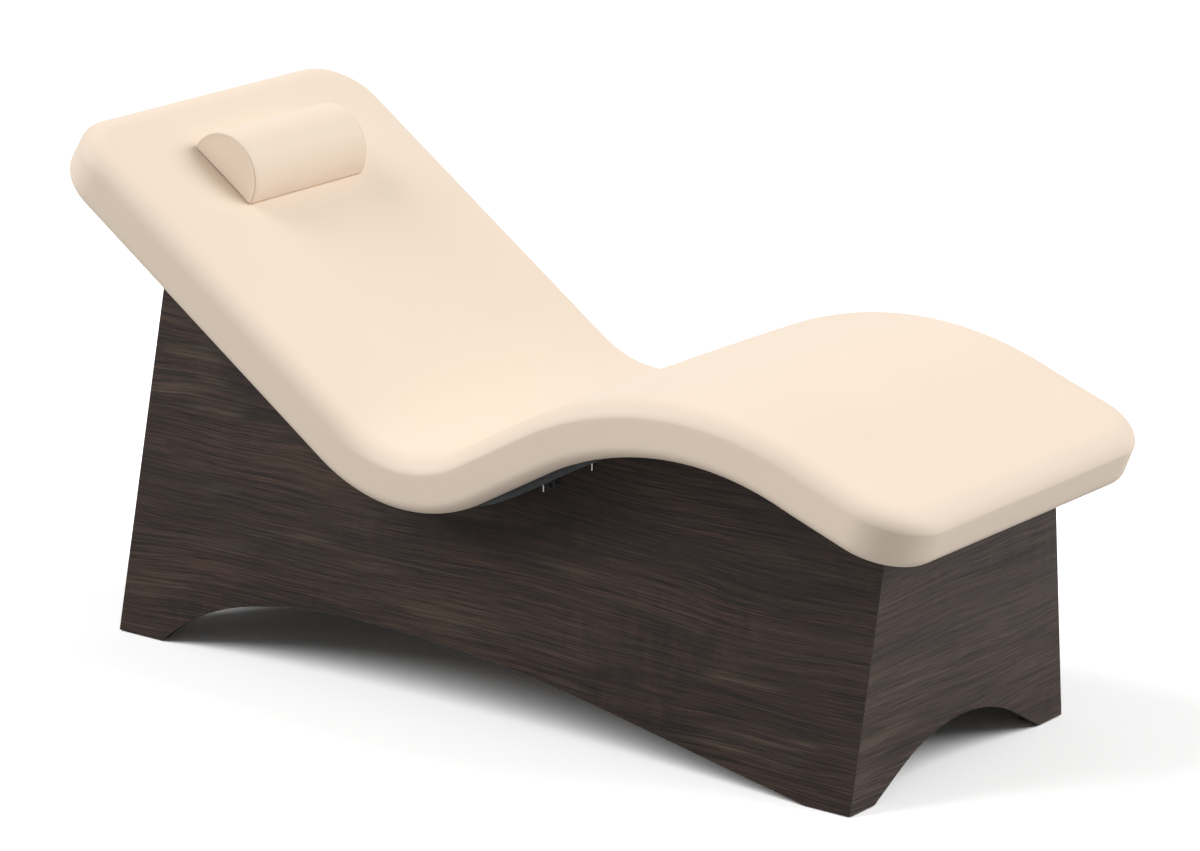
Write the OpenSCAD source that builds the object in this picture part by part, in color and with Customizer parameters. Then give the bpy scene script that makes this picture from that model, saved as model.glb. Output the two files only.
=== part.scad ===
// Spa relaxation lounger: an upholstered wave on an arched wooden plinth, with a loose head pillow.
// X runs from the head end to the foot end, Y across, Z up. The origin is on the floor, below
// the middle of the lounger. Lengths are in millimetres and angles in degrees.

/* [Wave] */
// Length of the straight back rest along the underside
back_len = 759; // [700:1:820]
// Slope of the back rest
back_angle = 34.9; // [30:0.1:38]
// Radius of the seat hollow on the underside
seat_r = 326; // [290:1:380]
// Slope of the thigh rest
rise_angle = 28.8; // [24:0.1:31]
// Straight length of the thigh rest
rise_len = 157; // [140:1:190]
// Radius of the knee hump on the underside
knee_r = 569; // [500:1:640]
// Steepest slope behind the knee
fall_angle = 21.4; // [20:0.1:23]
// Radius of the shallow flare after the knee
flare_r = 1220; // [900:10:1600]
// Slope of the foot end
foot_angle = 19.6; // [17:0.1:19.9]
// Straight length of the foot end
foot_len = 200; // [180:1:230]
// Height of the underside at the lowest point of the seat hollow
seat_h = 365; // [345:1:400]

/* [Cushion] */
// Width of the cushion
cushion_w = 762; // [720:1:840]
// Thickness from the underside to the rim of the top
cushion_t = 99; // [90:1:120]
// Radius of the two corners at the head end, seen from above
corner_r = 112; // [95:1:140]
// Radius of the two corners at the foot end, seen from above
foot_corner_r = 108; // [90:1:130]
// Radius of the rounded upper edge
top_r = 48; // [36:1:55]
// Radius of the rounded lower edge
bottom_r = 27; // [22:1:32]
// Height of the crown above the rim of the top
crown_h = 3; // [0:0.5:6]
// How far the long sides are drawn in between the corners
draw_in = 2; // [0:0.5:4]
// Thickness of the vinyl cover
cover_t = 1.2; // [0.8:0.1:2]
// Width of the cover's margin stapled under the deck
margin_w = 35; // [25:1:40]
// Thickness of the plywood deck
deck_t = 12; // [9:1:18]
// Thickness of the grey dust cover under the deck
dust_t = 1; // [0.6:0.1:1.5]
// Clearance between the layers under the foam
layer_gap = 0.15; // [0.1:0.05:0.3]

/* [Head pillow] */
// Length of the pillow across the lounger
pillow_l = 308; // [280:1:340]
// Radius of its half-round section
pillow_r = 79; // [66:1:84]
// Distance of its middle from the head end along the back rest
pillow_at = 200; // [180:1:260]
// How far its ends bulge
pillow_bulge = 4; // [0:0.5:8]
// Thickness of each fastening strip
strip_t = 0.8; // [0.6:0.1:1.2]
// Width of each fastening strip
strip_w = 25; // [16:1:40]
// Length of each fastening strip
strip_l = 110; // [80:1:125]
// Distance between the middles of the two strips
strip_gap = 160; // [100:1:200]
// Play between the pillow's strips and the strips on the back rest
pillow_play = 0.3; // [0.3:0.1:0.5]

/* [Plinth] */
// How far the cushion stands out over the plinth's foot on each long side
side_over = 63.5; // [41:0.5:73]
// How far the deck reaches past the foot of the head panel
head_over = 101; // [90:1:115]
// How far the deck reaches past the foot of the foot panel
foot_over = 114.7; // [100:0.1:130]
// Thickness of the panels
panel_t = 16; // [15:1:19]
// Inward lean of the side panels
side_lean = 8.6; // [6:0.1:9.5]
// Inward lean of the head panel
head_lean = 3.8; // [1:0.1:6]
// Outward lean of the foot panel
foot_lean = 2.3; // [0:0.1:4]
// Gap between the panels and the floor
floor_gap = 2; // [1:0.5:5]

/* [Arches] */
// Flat foot of a side panel at the head end
side_foot_head = 102; // [95:1:120]
// Flat foot of a side panel at the foot end
side_foot_foot = 92; // [80:1:110]
// Slope at which the side arch leaves its foot at the head end
arch_start_angle = 42; // [36:1:48]
// Slope where the side arch changes to its second radius
arch_mid_angle = 13.3; // [10:0.1:16]
// First radius of the side arch
arch_r1 = 406; // [340:1:450]
// Second radius of the side arch
arch_r2 = 1070; // [900:1:1200]
// Slope of the long run of the side arch towards the foot end
arch_end_angle = 9.9; // [9.6:0.1:11]
// Flat foot at each corner of an end panel
end_foot = 71; // [66:1:90]
// Slope of the flanks of the end arch
end_arch_angle = 30.5; // [26:0.5:34]
// Radius at the top of the end arch
end_arch_r = 345; // [260:1:380]

/* [Deck supports] */
// Thickness of the rails between the plinth and the deck
rail_t = 8; // [6:1:12]
// How far the rails stand out over the side panels
rail_over = 10; // [9:0.5:12]
// Thickness of the battens inside the side panels
cleat_t = 25; // [20:1:30]
// Height of the battens
cleat_h = 50; // [40:1:60]
// Thickness of the cross bearers
bearer_t = 18; // [15:1:22]
// Height of the cross bearers
bearer_h = 90; // [70:1:110]
// Distance of the back bearer behind the lowest point of the seat hollow
back_bearer_at = 430; // [415:1:440]
// Distance of the seat bearer in front of the lowest point of the seat hollow
seat_bearer_at = 20; // [0:1:40]
// Distance of the knee bearer in front of the lowest point of the seat hollow
knee_bearer_at = 440; // [430:1:450]
// Side length of the corner blocks
block_w = 45; // [42:1:50]
// Clearance between the corner blocks and the battens at the foot end
block_gap = 64; // [50:1:90]

/* [Hardware] */
// Diameter of the deck bolts
bolt_d = 3; // [2.5:0.5:4.5]
// Clearance between the tails of the bolts and the side panels
bolt_gap = 0.4; // [0.2:0.1:0.6]
// Length of bolt that shows below the rail
bolt_tail = 12; // [8:1:20]
// Distance of the first deck bolt up the thigh rest
bolt_from = 63; // [50:1:70]
// Distance between the two deck bolts of a side
bolt_pitch = 110; // [100:1:125]
// Diameter of the bolt heads
bolt_head_d = 12; // [10:0.5:14]
// Height of the bolt heads
bolt_head_h = 3; // [2:0.5:4]
// Length of the rail clips
clip_l = 30; // [26:1:36]
// Height of the rail clips on the panel
clip_h = 11; // [10:1:16]
// Thickness of the rail clips
clip_t = 2; // [1.5:0.5:3]
// Distance from the first deck bolt to the middle of the rail clip
clip_from = 20; // [18:1:40]
// Shank diameter of the wood screws
screw_d = 4; // [3:0.5:5]
// Diameter of the wood screws' heads
screw_head_d = 8; // [7:0.5:10]
// Height of the wood screws' heads
screw_head_h = 3; // [2:0.5:4]
// Length of a screw in the board that it holds
screw_bite = 10; // [8:1:12]
// Distance of the batten screws from the bearers and their angles
cleat_screw_from = 20; // [12:1:24]
// Distance of the first deck screw from the head end
deck_screw_head = 300; // [290:1:330]
// Distance of the second deck screw from the head end
deck_screw_back = 620; // [600:1:640]
// Distance of the third deck screw beyond the flare
deck_screw_foot = 30; // [20:1:40]
// Leg of the bearer angles
angle_leg = 36; // [30:1:40]
// Thickness of the bearer angles
angle_t = 3; // [2:0.5:4]
// Width of the bearer angles
angle_w = 20; // [16:1:26]
// Length of screw in a bearer
angle_screw_l = 12; // [10:1:14]

/* [Levelling glides] */
// Diameter of a glide's pad
pad_d = 38; // [30:1:40]
// Height of a glide's pad
pad_h = 10; // [8:1:14]
// Height of the pad's straight rim
pad_rim_h = 4; // [3:0.5:5]
// Diameter of the pad's neck
pad_neck_d = 18; // [16:1:22]
// Diameter of the threaded stud
stud_d = 8; // [6:1:10]
// Length of the threaded stud
stud_l = 46; // [42:1:55]
// Width across the flats of the stud's nut
nut_w = 13; // [12:1:15]
// Height of the stud's nut
nut_h = 5; // [4:0.5:6]
// Radial play of the stud in its pad and insert
stud_play = 0.05; // [0.02:0.01:0.1]
// Depth of the stud in its pad
stud_seat = 6; // [4:1:7]
// Outer diameter of the threaded insert
insert_d = 12; // [11.5:0.5:14]
// Length of the threaded insert
insert_l = 20; // [16:1:24]
// Clearance between the nut and the block above it
nut_gap = 2; // [1:0.5:4]
// Clearance between the nut and the pad
nut_lift = 0.3; // [0.2:0.1:0.5]
// Clearance round and above the stud in the block
stud_room = 1.5; // [1:0.5:1.9]

/* [Hidden] */
$fn = 48;

left = -1;
right = 1;
head = -1;
foot = 1;
vinyl = [0.96, 0.89, 0.81];
wood = [0.17, 0.145, 0.14];
half_turn = 180;
quarter = 90;

// Stretches of the wave from the head end to the foot end: length and change of slope
seat_turn = back_angle + rise_angle;
knee_turn = rise_angle + fall_angle;
flare_turn = fall_angle - foot_angle;
seat_arc = seat_r * seat_turn * PI / half_turn;
knee_arc = knee_r * knee_turn * PI / half_turn;
flare_arc = flare_r * flare_turn * PI / half_turn;
runs = [
    [back_len, 0], [seat_arc, seat_turn], [rise_len, 0],
    [knee_arc, -knee_turn], [flare_arc, flare_turn], [foot_len, 0]
];
rise_start = back_len + seat_arc;
rise_end = rise_start + rise_len;
knee_end = rise_end + knee_arc;
flare_end = knee_end + flare_arc;
wave_len = flare_end + foot_len;
seat_low = back_len + seat_r * back_angle * PI / half_turn;

// Point and slope, as [x, z, slope], after one stretch that starts at p
function after(p, run) =
    run.y == 0
    ? [p.x + run.x * cos(p.z), p.y + run.x * sin(p.z), p.z]
    : let (r = run.x / run.y * half_turn / PI, a = p.z + run.y)
      [p.x + r * (sin(a) - sin(p.z)), p.y + r * (cos(p.z) - cos(a)), a];

// Point and slope at distance s along the wave
function follow(p, s, i = 0) =
    i == len(runs) - 1 || s <= runs[i].x
    ? after(p, [s, runs[i].y * s / runs[i].x])
    : follow(after(p, runs[i]), s - runs[i].x, i + 1);
function raw(s) = follow([0, 0, -back_angle], s);
function lifted(w, h) = [w.x - h * sin(w.z), w.y + h * cos(w.z)];

// The wave is shifted so that the cushion's reach in X is centred on the origin
half_w = cushion_w / 2;
head_corner = lifted(raw(bottom_r), bottom_r);
foot_corner = lifted(raw(wave_len - top_r), cushion_t - top_r);
mid_x = (head_corner.x - bottom_r + foot_corner.x + top_r) / 2;
low_z = raw(seat_low).y;
function wave(s) = raw(s) - [mid_x, low_z - seat_h, 0];
function place(s, y, h) = let (p = lifted(wave(s), h)) [p.x, y, p.y];
seat_x = wave(seat_low).x;

// Distances along the wave at which it is drawn
seat_steps = 8;
knee_steps = 7;
function between(a, b, n) = [for (i = [1:n]) a + (b - a) * i / n];
curve_stations = concat(
    between(corner_r, back_len, 2), between(back_len, rise_start, seat_steps),
    [rise_end], between(rise_end, knee_end, knee_steps), [flare_end]);

// Levels of the layers above the underside
margin_level = dust_t + layer_gap;
margin_top = margin_level + cover_t;
deck_level = margin_top + layer_gap;
foam_level = deck_level + deck_t;
back_top = cushion_t + crown_h;

// Rim of one level of the cushion as [distance, y]: left half first, then back along the right.
// A level is [inset from the outline, height, share of the drawn-in sides].
corner_steps = 5;
function drawn(s) =
    draw_in * sin(half_turn * (s - corner_r) / (wave_len - corner_r - foot_corner_r));
function half_rim(level) =
    let (r = corner_r - level.x, y = half_w - corner_r, q = foot_corner_r - level.x)
    concat(
        [for (i = [0:corner_steps]) let (a = quarter * i / corner_steps)
            [corner_r - r * cos(a), -y - r * sin(a)]],
        [for (s = curve_stations) [s, level.x + level.z * drawn(s) - half_w]],
        [for (i = [0:corner_steps]) let (a = quarter * i / corner_steps)
            [wave_len - foot_corner_r + q * sin(a), foot_corner_r - half_w - q * cos(a)]]);
half_count = 2 * (corner_steps + 1) + len(curve_stations);
rim_count = 2 * half_count;
function rim(level) =
    let (h = half_rim(level))
    [for (i = [0:rim_count - 1]) let (q = h[i < half_count ? i : rim_count - 1 - i])
        place(q.x, i < half_count ? q.y : -q.y, level.y)];

// Three rows of points that raise the crown inside the rim of the top
crown_shares = [-0.5, 0, 0.5];
function fade(s, inset) =
    let (d = min(1, (min(s, wave_len - s) - inset) / corner_r)) 1 - (1 - d) * (1 - d);
function crown_at(share) = crown_h * (1 - share * share);
function crown(level) =
    let (h = half_rim(level))
    [for (i = [1:half_count - 2], share = crown_shares)
        place(h[i].x, -share * h[i].y, level.y + crown_at(share) * fade(h[i].x, level.x))];

// Triangles between two neighbouring rims, and across a rim without and with a crown
function flip(faces) = [for (f = faces) [f[0], f[2], f[1]]];
function band(a, b) =
    [for (i = [0:rim_count - 1]) let (j = (i + 1) % rim_count)
        each [[a + i, b + i, b + j], [a + i, b + j, a + j]]];
function bands(first, count) =
    [for (k = [0:count - 2]) each band(first + k * rim_count, first + (k + 1) * rim_count)];
function cap(rim_at) =
    let (last = rim_at + rim_count - 1)
    [for (i = [0:half_count - 2])
        each [[rim_at + i, last - i, last - i - 1], [rim_at + i, last - i - 1, rim_at + i + 1]]];
function column(rim_at, rows_at, i, j) =
    j == 0 ? rim_at + i
    : j == 4 ? rim_at + rim_count - 1 - i
    : rows_at + 3 * (i - 1) + j - 1;
function crown_cap(rim_at, rows_at) =
    let (
        l0 = rim_at, r0 = rim_at + rim_count - 1, m = half_count - 2,
        l9 = rim_at + half_count - 1, r9 = rim_at + half_count)
    concat(
        [for (j = [0:1]) [l0, column(rim_at, rows_at, 1, j + 1), column(rim_at, rows_at, 1, j)]],
        [[l0, r0, column(rim_at, rows_at, 1, 2)]],
        [for (j = [2:3]) [r0, column(rim_at, rows_at, 1, j + 1), column(rim_at, rows_at, 1, j)]],
        [for (i = [1:m - 1], j = [0:3])
            let (
                a = column(rim_at, rows_at, i, j), b = column(rim_at, rows_at, i, j + 1),
                c = column(rim_at, rows_at, i + 1, j + 1), d = column(rim_at, rows_at, i + 1, j))
            each [[a, b, c], [a, c, d]]],
        [for (j = [0:1]) [column(rim_at, rows_at, m, j), column(rim_at, rows_at, m, j + 1), l9]],
        [[column(rim_at, rows_at, m, 2), r9, l9]],
        [for (j = [2:3]) [column(rim_at, rows_at, m, j), column(rim_at, rows_at, m, j + 1), r9]]);

// Levels of the cushion's skin, from its lower edge round the side to its rim on top
function skin_levels(t) =
    let (low_r = bottom_r - t, high_r = top_r - t)
    concat(
        [for (a = [0, quarter / 2, quarter])
            [t + low_r * (1 - sin(a)), margin_level + t + low_r * (1 - cos(a)), a / quarter]],
        [for (a = [0:quarter / 3:quarter])
            [t + high_r * (1 - cos(a)), cushion_t - t - high_r * (1 - sin(a)), 1]]);
deck_inset = bottom_r;
dust_inset = bottom_r + 3 * dust_t;
outer_levels = skin_levels(0);
inner_levels = skin_levels(cover_t);
margin_inset = deck_inset + margin_w;

module slab(low, high, inset) {
    levels = [[inset, low, 0], [inset, high, 0]];
    polyhedron([for (l = levels) each rim(l)], concat(flip(cap(0)), bands(0, 2), cap(rim_count)));
}

module cushion_cover() {
    outer = concat([[margin_inset, margin_level, 0]], outer_levels);
    inner = concat([[margin_inset, margin_top, 0]], inner_levels);
    top = len(outer) - 1;
    rows = 3 * (half_count - 2);
    inner_at = len(outer) * rim_count + rows;
    points = concat(
        [for (l = outer) each rim(l)], crown(outer[top]),
        [for (l = inner) each rim(l)], crown(inner[top]));
    faces = concat(
        bands(0, len(outer)), crown_cap(top * rim_count, len(outer) * rim_count),
        flip(bands(inner_at, len(inner))),
        flip(crown_cap(inner_at + top * rim_count, inner_at + len(inner) * rim_count)),
        flip(band(0, inner_at)));
    color(vinyl) polyhedron(points, faces);
}

module cushion_foam() {
    levels = concat([[deck_inset, foam_level, 0]], inner_levels);
    top = len(levels) - 1;
    points = concat([for (l = levels) each rim(l)], crown(levels[top]));
    faces = concat(
        flip(cap(0)), bands(0, len(levels)), crown_cap(top * rim_count, len(levels) * rim_count));
    color("khaki") polyhedron(points, faces);
}

// Solids as long as the lounger along X or Y, over an outline in the other two directions
far = wave_len;
module along_x(outline) {
    rotate([quarter, 0, quarter]) linear_extrude(2 * far, center = true) polygon(outline);
}
module along_y(outline) {
    rotate([quarter, 0, 0]) linear_extrude(2 * far, center = true) polygon(outline);
}
module x_slice(low, high) {
    along_y([[low, -far], [high, -far], [high, far], [low, far]]);
}
module z_slice(low, high) {
    along_y([[-far, low], [far, low], [far, high], [-far, high]]);
}

// Everything under one level of the wave, and a layer between two levels
wave_stations = concat([0], curve_stations, [wave_len]);
function wave_line(h) = [for (s = wave_stations) lifted(wave(s), h)];
module under(h) {
    along_y(concat(wave_line(h), [[far, -far], [-far, -far]]));
}
module layer(low, high) {
    difference() {
        under(high);
        under(low);
    }
}

// Outer faces of the plinth at one height: half its width, and X at its head and foot ends
head_foot_x = wave(0).x + head_over;
foot_foot_x = wave(wave_len).x - foot_over;
function side_y(z) = half_w - side_over - (z - floor_gap) * tan(side_lean);
function end_x(end, z) =
    end == head
    ? head_foot_x + (z - floor_gap) * tan(head_lean)
    : foot_foot_x + (z - floor_gap) * tan(foot_lean);
function end_lean(end) = end == head ? head_lean : foot_lean;

// The space inside the plinth's outer faces, at a depth square to the side or end panels
module inside(depth) {
    d = depth / cos(side_lean);
    along_x([
        [d - side_y(floor_gap), floor_gap], [side_y(floor_gap) - d, floor_gap],
        [side_y(far / 2) - d, far / 2], [d - side_y(far / 2), far / 2]]);
}
module between_ends(depth) {
    d_head = depth / cos(head_lean);
    d_foot = depth / cos(foot_lean);
    along_y([
        [end_x(head, floor_gap) + d_head, floor_gap], [end_x(foot, floor_gap) - d_foot, floor_gap],
        [end_x(foot, far / 2) - d_foot, far / 2], [end_x(head, far / 2) + d_head, far / 2]]);
}
module side_board(side, low, high) {
    d_low = low / cos(side_lean);
    d_high = high / cos(side_lean);
    along_x([for (q = [
        [d_low, floor_gap], [d_high, floor_gap], [d_high, far / 2], [d_low, far / 2]])
        [side * (side_y(q.y) - q.x), q.y]]);
}
module end_board(end, low, high) {
    d_low = low / cos(end_lean(end));
    d_high = high / cos(end_lean(end));
    along_y([for (q = [
        [d_low, floor_gap], [d_high, floor_gap], [d_high, far / 2], [d_low, far / 2]])
        [end_x(end, q.y) - end * q.x, q.y]]);
}

// Everything on the end panel's side of the mitre at one corner
module mitred_off(end, side) {
    edge = [tan(end_lean(end)), -side * tan(side_lean), 1];
    across = [-end / cos(end_lean(end)), -side / cos(side_lean), 0];
    normal = end * side * cross(edge, across);
    translate([end_x(end, floor_gap), side * side_y(floor_gap), floor_gap])
        rotate([0, acos(normal.z / norm(normal)), atan2(normal.y, normal.x)])
            translate([-far, -far, 0]) cube([2 * far, 2 * far, far]);
}

// Arches: outlines of the space under the panels, from one foot to the other
arch_steps = 10;
cut_over = floor_gap;
function bend(p, r, from, to) =
    [for (a = between(from, to, arch_steps))
        [p.x + r * (sin(from) - sin(a)), p.y + r * (cos(a) - cos(from))]];
function last_of(points) = points[len(points) - 1];
arch_from = [head_foot_x + side_foot_head, floor_gap];
arch_to = [foot_foot_x - side_foot_foot, floor_gap];
arch_rise_1 = bend(arch_from, arch_r1, arch_start_angle, arch_mid_angle);
arch_rise_2 = bend(last_of(arch_rise_1), arch_r2, arch_mid_angle, 0);
arch_top = last_of(arch_rise_2);
arch_drop = arch_top.y - floor_gap;
arch_r3 = (arch_to.x - arch_top.x - arch_drop / tan(arch_end_angle)) / tan(arch_end_angle / 2);
arch_fall = bend(arch_top, arch_r3, 0, -arch_end_angle);
side_arch = concat(
    [[arch_from.x, -cut_over], arch_from], arch_rise_1, arch_rise_2, arch_fall,
    [arch_to, [arch_to.x, -cut_over]]);

end_half = side_y(floor_gap) - end_foot;
flank = end_half - end_arch_r * sin(end_arch_angle);
end_spring = [-end_half + flank, floor_gap + flank * tan(end_arch_angle)];
end_arch = concat(
    [[-end_half, -cut_over], [-end_half, floor_gap], end_spring],
    bend(end_spring, end_arch_r, end_arch_angle, -end_arch_angle),
    [[end_half, floor_gap], [end_half, -cut_over]]);

module side_panel(side) {
    color(wood) difference() {
        intersection() {
            side_board(side, 0, panel_t);
            under(-rail_t);
        }
        along_y(side_arch);
        mitred_off(head, side);
        mitred_off(foot, side);
        side_screw_holes(side);
        clip_screw_holes(side);
    }
}

module end_panel(end) {
    color(wood) difference() {
        intersection() {
            end_board(end, 0, panel_t);
            under(-rail_t);
            mitred_off(end, left);
            mitred_off(end, right);
        }
        along_x(end_arch);
        end_screw_holes(end);
    }
}

// Rails, battens and bearers
cleat_depth = panel_t + cleat_t;
module deck_rail(side) {
    color("dimgray") difference() {
        intersection() {
            side_board(side, -rail_over, cleat_depth);
            layer(-rail_t, 0);
            between_ends(-rail_over);
        }
        deck_bolt_holes(side);
        deck_screw_holes(side);
    }
}

module end_rail(end) {
    color("dimgray") intersection() {
        end_board(end, -rail_over, cleat_depth);
        layer(-rail_t, 0);
        inside(cleat_depth);
    }
}

module cleat(side) {
    color("burlywood") difference() {
        intersection() {
            side_board(side, panel_t, cleat_depth);
            layer(-rail_t - cleat_h, -rail_t);
            between_ends(panel_t);
        }
        side_screw_holes(side);
        deck_screw_holes(side);
        angle_screw_holes(side);
    }
}

module bearer(x) {
    color("burlywood") difference() {
        intersection() {
            x_slice(x, x + bearer_t);
            layer(-bearer_h, 0);
            inside(cleat_depth);
        }
        angle_screw_holes(left);
        angle_screw_holes(right);
    }
}
bearer_places = [seat_x - back_bearer_at, seat_x + seat_bearer_at, seat_x + knee_bearer_at];

// Distance along the wave and slope where the wave crosses x
function crossing(x, i = 0) =
    i >= len(wave_stations) - 2 || wave(wave_stations[i + 1]).x > x
    ? let (
        s0 = wave_stations[i], s1 = wave_stations[i + 1],
        p0 = wave(s0), p1 = wave(s1), share = (x - p0.x) / (p1.x - p0.x))
      [s0 + share * (s1 - s0), p0.y + share * (p1.y - p0.y), atan2(p1.y - p0.y, p1.x - p0.x)]
    : crossing(x, i + 1);
function wave_z(x, h) = let (c = crossing(x)) c.y + h / cos(c.z);

// Screws: a head on the surface at Z zero and a shank that goes down into the boards
module screw(length) {
    cylinder(h = screw_head_h, d = screw_head_d);
    translate([0, 0, -length]) cylinder(h = length, d = screw_d);
}
module screw_hole(length) {
    translate([0, 0, -length]) cylinder(h = length + cut_over, d = screw_d);
}
// On a plane at a depth inside a side panel's or an end panel's outer face, looking inwards
module on_side(side, x, z, depth) {
    translate([x, side * (side_y(z) - depth / cos(side_lean)), z])
        rotate([side * (quarter + side_lean), 0, 0]) children();
}
module on_end(end, y, z, depth) {
    lean = end_lean(end);
    translate([end_x(end, z) - end * depth / cos(lean), y, z])
        rotate([0, end == head ? quarter + lean : lean - quarter, 0]) children();
}

// Screws through the battens into the side panels: beside each bearer and near the foot panel
block_depth = panel_t + block_w;
cleat_screw_x = [
    for (x = bearer_places) each [x - cleat_screw_from, x + bearer_t + angle_leg + cleat_screw_from],
    foot_foot_x - block_depth - cleat_screw_from];
cleat_mid = -rail_t - cleat_h / 2;
cleat_screw_l = cleat_t + screw_bite;
// Screws through a corner block into a side panel or an end panel
block_base = pad_h + nut_h + nut_gap;
block_h = wave_z(foot_foot_x, -rail_t - cleat_h) - block_gap - block_base;
block_screw_l = block_w + screw_bite;
block_screw_z = [block_base + block_h / 2, block_base + block_h - block_w];
block_screw_step = 3 * screw_head_d;
function block_mid_x(end, z) = end_x(end, z) - end * (panel_t + block_w / 2) / cos(end_lean(end));
function block_mid_y(z) = side_y(z) - (panel_t + block_w / 2) / cos(side_lean);

module side_screw_holes(side) {
    for (x = cleat_screw_x) on_side(side, x, wave_z(x, cleat_mid), cleat_depth) screw_hole(cleat_screw_l);
    for (end = [head, foot], z = block_screw_z)
        on_side(side, block_mid_x(end, z), z, block_depth) screw_hole(block_screw_l);
}
module end_screw_holes(end) {
    for (side = [left, right], z = block_screw_z)
        on_end(end, side * block_mid_y(z), z - block_screw_step, block_depth) screw_hole(block_screw_l);
}

// Deck bolts: upright, through the deck and the rail, with their tails outside the side panel
deck_bolt_s = [rise_start + bolt_from, rise_start + bolt_from + bolt_pitch];
bolt_drop = bolt_head_d / 2 * tan(rise_angle);
bolt_out = bolt_d / 2 + bolt_tail * tan(side_lean) + bolt_gap;
module at_deck_bolts(side) {
    for (s = deck_bolt_s) {
        x = wave(s).x;
        rail_z = wave_z(x, -rail_t);
        head_z = wave_z(x, foam_level) - bolt_drop - bolt_head_h;
        length = head_z - rail_z + bolt_tail;
        translate([x, side * (side_y(rail_z) + bolt_out), head_z]) {
            translate([0, 0, -length]) cylinder(h = length, d = bolt_d);
            children();
        }
    }
}
module deck_bolt_holes(side) {
    at_deck_bolts(side);
}
module deck_bolts() {
    color("silver") for (side = [left, right])
        at_deck_bolts(side) cylinder(h = bolt_head_h, d = bolt_head_d);
}

// Deck screws: square to the deck, up through the battens and rails
deck_screw_s = [deck_screw_head, deck_screw_back, flare_end + deck_screw_foot];
deck_screw_low = -rail_t - cleat_h;
deck_screw_l = deck_level + 3 * deck_t / 4 - deck_screw_low;
module at_deck_screws(side) {
    for (s = deck_screw_s) {
        w = wave(s);
        mid_z = w.y + cleat_mid * cos(w.z);
        y = side * (side_y(mid_z) - (panel_t + cleat_t / 2) / cos(side_lean));
        translate(place(s, y, deck_screw_low)) rotate([half_turn, -w.z, 0]) children();
    }
}
module deck_screw_holes(side) {
    at_deck_screws(side) screw_hole(deck_screw_l);
}
module deck_screws() {
    color("gray") for (side = [left, right]) at_deck_screws(side) screw(deck_screw_l);
}

module deck_board() {
    color("tan") difference() {
        slab(deck_level, foam_level, deck_inset);
        for (side = [left, right]) {
            at_deck_bolts(side) cylinder(h = 3 * bolt_head_h + bolt_drop, d = bolt_head_d);
            deck_screw_holes(side);
        }
    }
}

module dust_cover() {
    color("dimgray") difference() {
        slab(0, dust_t, dust_inset);
        for (side = [left, right]) {
            deck_bolt_holes(side);
            deck_screw_holes(side);
        }
    }
}

// Rail clips on the side panels, under the rails
clip_x = wave(rise_start + bolt_from + clip_from).x;
clip_reach = clip_l / 2 * cos(rise_angle);
module rail_clip(side) {
    color("black") difference() {
        intersection() {
            x_slice(clip_x - clip_reach, clip_x + clip_reach);
            union() {
                intersection() {
                    side_board(side, -clip_t, 0);
                    layer(-rail_t - clip_h, -rail_t);
                }
                intersection() {
                    side_board(side, -rail_over, 0);
                    layer(-rail_t - clip_t, -rail_t);
                }
            }
        }
        clip_screw_holes(side);
    }
}
module at_clip_screws(side) {
    for (x = [clip_x - clip_reach / 2, clip_x + clip_reach / 2])
        on_side(side, x, wave_z(x, -rail_t - (clip_h + clip_t) / 2), -clip_t)
            rotate([half_turn, 0, 0]) children();
}
module clip_screw_holes(side) {
    at_clip_screws(side) screw_hole(clip_t + screw_bite);
}
module clip_screws() {
    color("black") for (side = [left, right]) at_clip_screws(side) screw(clip_t + screw_bite);
}

module cleat_screws() {
    color("gray") for (side = [left, right], x = cleat_screw_x)
        on_side(side, x, wave_z(x, cleat_mid), cleat_depth) screw(cleat_screw_l);
}

// Angles that tie the bearers to the battens, with one screw in each leg
angle_reach = (angle_leg + angle_t) / 2;
angle_shank_l = angle_t + angle_screw_l;
module bearer_angle(side, x) {
    z = wave_z(x + angle_leg / 2, cleat_mid) - angle_w / 2;
    color("silver") difference() {
        intersection() {
            z_slice(z, z + angle_w);
            union() {
                intersection() {
                    side_board(side, cleat_depth, cleat_depth + angle_t);
                    x_slice(x, x + angle_leg);
                }
                intersection() {
                    side_board(side, cleat_depth, cleat_depth + angle_leg);
                    x_slice(x, x + angle_t);
                }
            }
        }
        angle_screw_holes(side);
    }
}
module bearer_angles() {
    for (side = [left, right], x = bearer_places) bearer_angle(side, x + bearer_t);
}
module at_angle_screws(side) {
    for (x = bearer_places) {
        face = x + bearer_t;
        z = wave_z(face + angle_leg / 2, cleat_mid);
        on_side(side, face + angle_reach, z, cleat_depth + angle_t) children();
        y = side * (side_y(z) - (cleat_depth + angle_reach) / cos(side_lean));
        translate([face + angle_t, y, z]) rotate([0, quarter, 0]) children();
    }
}
module angle_screw_holes(side) {
    at_angle_screws(side) screw_hole(angle_shank_l);
}
module angle_screws() {
    color("gray") for (side = [left, right]) at_angle_screws(side) screw(angle_shank_l);
}

module block_screws() {
    color("gray") for (end = [head, foot], side = [left, right], z = block_screw_z) {
        on_side(side, block_mid_x(end, z), z, block_depth) screw(block_screw_l);
        on_end(end, side * block_mid_y(z), z - block_screw_step, block_depth) screw(block_screw_l);
    }
}

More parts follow.
